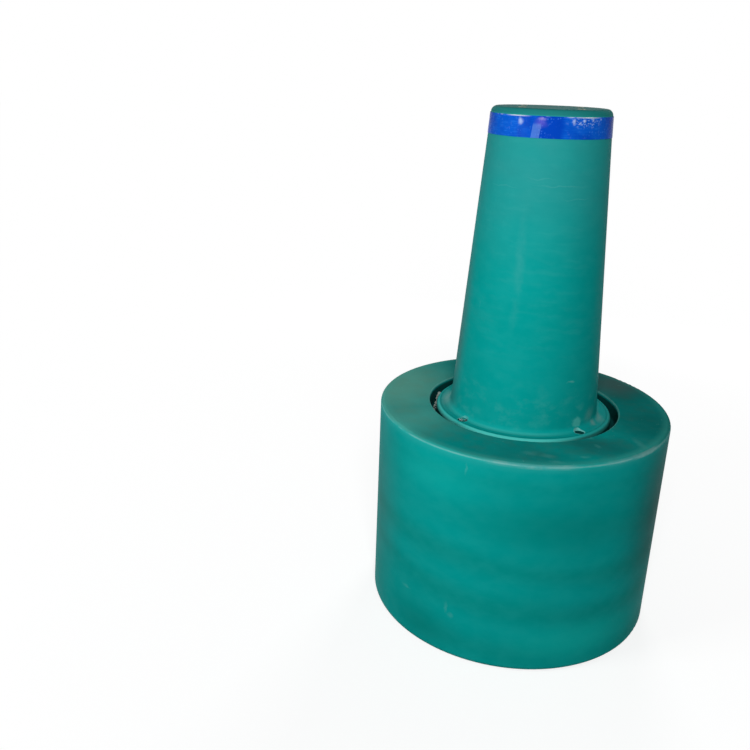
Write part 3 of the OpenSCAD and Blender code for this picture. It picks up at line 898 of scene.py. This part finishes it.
class BUOY_OT_stage(bpy.types.Operator):
    """Set up the floor, the lamps and the camera"""

    bl_idname = "buoy.stage"
    bl_label = "Stage"

    AIM = Vector((0, 0, 0.75))
    FLOOR_GREY = 0.4  # the share of the light that the floor reflects

    def execute(self, context):
        scene, stage = context.scene, context.scene.buoy_stage
        self.set_camera(scene, stage)
        self.lay_floor(stage)
        self.hang_lamps(stage)
        self.light_world(scene, stage)
        scene.view_settings.view_transform = "Standard"
        return {"FINISHED"}

    def set_camera(self, scene, stage):
        """The photograph's camera, in front of the buoy and looking down at it."""
        deselect()
        bpy.ops.object.camera_add(location=(0, -stage.camera_distance, stage.camera_height))
        camera = bpy.context.object
        aim = Matrix.Rotation(stage.camera_left, 3, "Z")
        aim = aim @ Matrix.Rotation(math.pi / 2 - stage.camera_down, 3, "X")
        camera.rotation_euler = (aim @ Matrix.Rotation(stage.camera_roll, 3, "Z")).to_euler()
        camera.data.lens = stage.lens
        camera.data.sensor_width = 36
        scene.camera = camera

    def lamps(self, stage):
        """Each lamp's name, place, width and power. All aim at the middle of the tower."""
        return (("front_lamp", Vector((0.1, -3.0, 2.5)), 1.0, stage.front_power),
                ("left_lamp", Vector((-1.4, -1.2, 1.25)), 0.7, stage.left_power),
                ("back_lamp", Vector((0.3, 3.0, 1.3)), 1.0, stage.back_power))

    def lay_floor(self, stage):
        """A pale floor. Rays that look at it also see a glow that makes up what the lamps don't light, so
        that it is as white as the backdrop everywhere but in the shadow."""
        deselect()
        bpy.ops.mesh.primitive_plane_add(size=60)
        floor = bpy.context.object
        floor.name = "floor"
        material, shader, place = new_material(
            "pale_floor", Base_Color=(*[self.FLOOR_GREY] * 3, 1), Roughness=1.0, Specular_IOR_Level=0.0,
            Emission_Color=(1, 1, 1, 1))
        lit = stage.ambient
        for _, lamp, _, power in self.lamps(stage):
            aim = (self.AIM - lamp).normalized()
            away = add_node(material, "ShaderNodeVectorMath", {"operation": "SUBTRACT"},
                            _0=place, _1=lamp).outputs[0]
            ahead, squared = [
                add_node(material, "ShaderNodeVectorMath", {"operation": "DOT_PRODUCT"},
                         _0=away, _1=other).outputs["Value"] for other in (aim, away)]
            # What a lamp gives the floor falls with its distance squared, and with the slant at both ends
            falls = add_node(material, "ShaderNodeMath", {"operation": "POWER"},
                             _0=squared, _1=-2.0).outputs[0]
            share = both(material, ahead, falls, power * lamp.z / math.pi ** 2)
            lit = add_node(material, "ShaderNodeMath", _0=lit, _1=either(material, share, 0.0)).outputs[0]
        glow = add_node(material, "ShaderNodeMath", {"operation": "MULTIPLY_ADD"},
                        _0=lit, _1=-self.FLOOR_GREY, _2=1.0)
        ray = add_node(material, "ShaderNodeLightPath")
        looked_at = either(material, ray.outputs["Is Camera Ray"], ray.outputs["Is Glossy Ray"],
                           ray.outputs["Is Transmission Ray"])
        link(material, both(material, looked_at, either(material, glow.outputs[0], 0.0)),
             shader.inputs["Emission Strength"])
        floor.data.materials.append(material)

    def hang_lamps(self, stage):
        """Square lamps that the camera doesn't see. Nothing mirrors the back lamp either."""
        for name, place, width, power in self.lamps(stage):
            deselect()
            bpy.ops.object.light_add(type="AREA", location=place)
            lamp = bpy.context.object
            lamp.name = name
            lamp.data.size = width
            lamp.data.energy = power
            lamp.rotation_euler = (self.AIM - place).to_track_quat("-Z", "Y").to_euler()
            lamp.visible_camera = False
            lamp.visible_glossy = name != "back_lamp"

    def light_world(self, scene, stage):
        """White for the rays that look at the backdrop, and the ambient light for the rest."""
        world = bpy.data.worlds.new("pale_studio")
        scene.world = world
        world.use_nodes = True
        world.node_tree.nodes.clear()
        ray = add_node(world, "ShaderNodeLightPath")
        looked_at = either(world, ray.outputs["Is Camera Ray"], ray.outputs["Is Glossy Ray"],
                           ray.outputs["Is Transmission Ray"])
        backdrop = add_node(world, "ShaderNodeBackground", Color=(1, 1, 1, 1), Strength=1.0)
        ambient = add_node(world, "ShaderNodeBackground", Color=(1, 1, 1, 1), Strength=stage.ambient)
        mix = add_node(world, "ShaderNodeMixShader",
                       _0=looked_at, _1=ambient.outputs[0], _2=backdrop.outputs[0])
        add_node(world, "ShaderNodeOutputWorld", Surface=mix.outputs[0])


class BUOY_PT_panel(bpy.types.Panel):
    """Sidebar panel that lists the buoy's pieces and finishes"""

    bl_label = "Navigation buoy"
    bl_idname = "BUOY_PT_panel"
    bl_space_type = "VIEW_3D"
    bl_region_type = "UI"
    bl_category = "Buoy"

    def draw(self, context):
        layout = self.layout
        for group in GROUPS.values():
            settings = getattr(context.scene, group)
            for name in settings.bl_rna.properties.keys():
                if name not in ("rna_type", "name"):
                    layout.prop(settings, name)
        for operator in OPERATORS:
            layout.operator(operator.bl_idname)


GROUPS = {BuoyColours: "buoy_colours", BuoyWear: "buoy_wear", BuoyTape: "buoy_tape", BuoyStage: "buoy_stage"}
OPERATORS = (BUOY_OT_plastic, BUOY_OT_tape, BUOY_OT_fasteners, BUOY_OT_mooring, BUOY_OT_plugs, BUOY_OT_crumbs,
             BUOY_OT_stage)


def register():
    for cls in (*GROUPS, *OPERATORS, BUOY_PT_panel):
        bpy.utils.register_class(cls)
    for cls, name in GROUPS.items():
        setattr(bpy.types.Scene, name, PointerProperty(type=cls))


def unregister():
    for name in GROUPS.values():
        delattr(bpy.types.Scene, name)
    for cls in reversed((*GROUPS, *OPERATORS, BUOY_PT_panel)):
        bpy.utils.unregister_class(cls)


def main():
    register()
    bpy.ops.buoy.plastic()
    bpy.ops.buoy.tape()
    bpy.ops.buoy.fasteners()
    bpy.ops.buoy.mooring()
    bpy.ops.buoy.plugs()
    bpy.ops.buoy.crumbs()
    bpy.ops.buoy.stage()


if __name__ == "__main__":
    main()
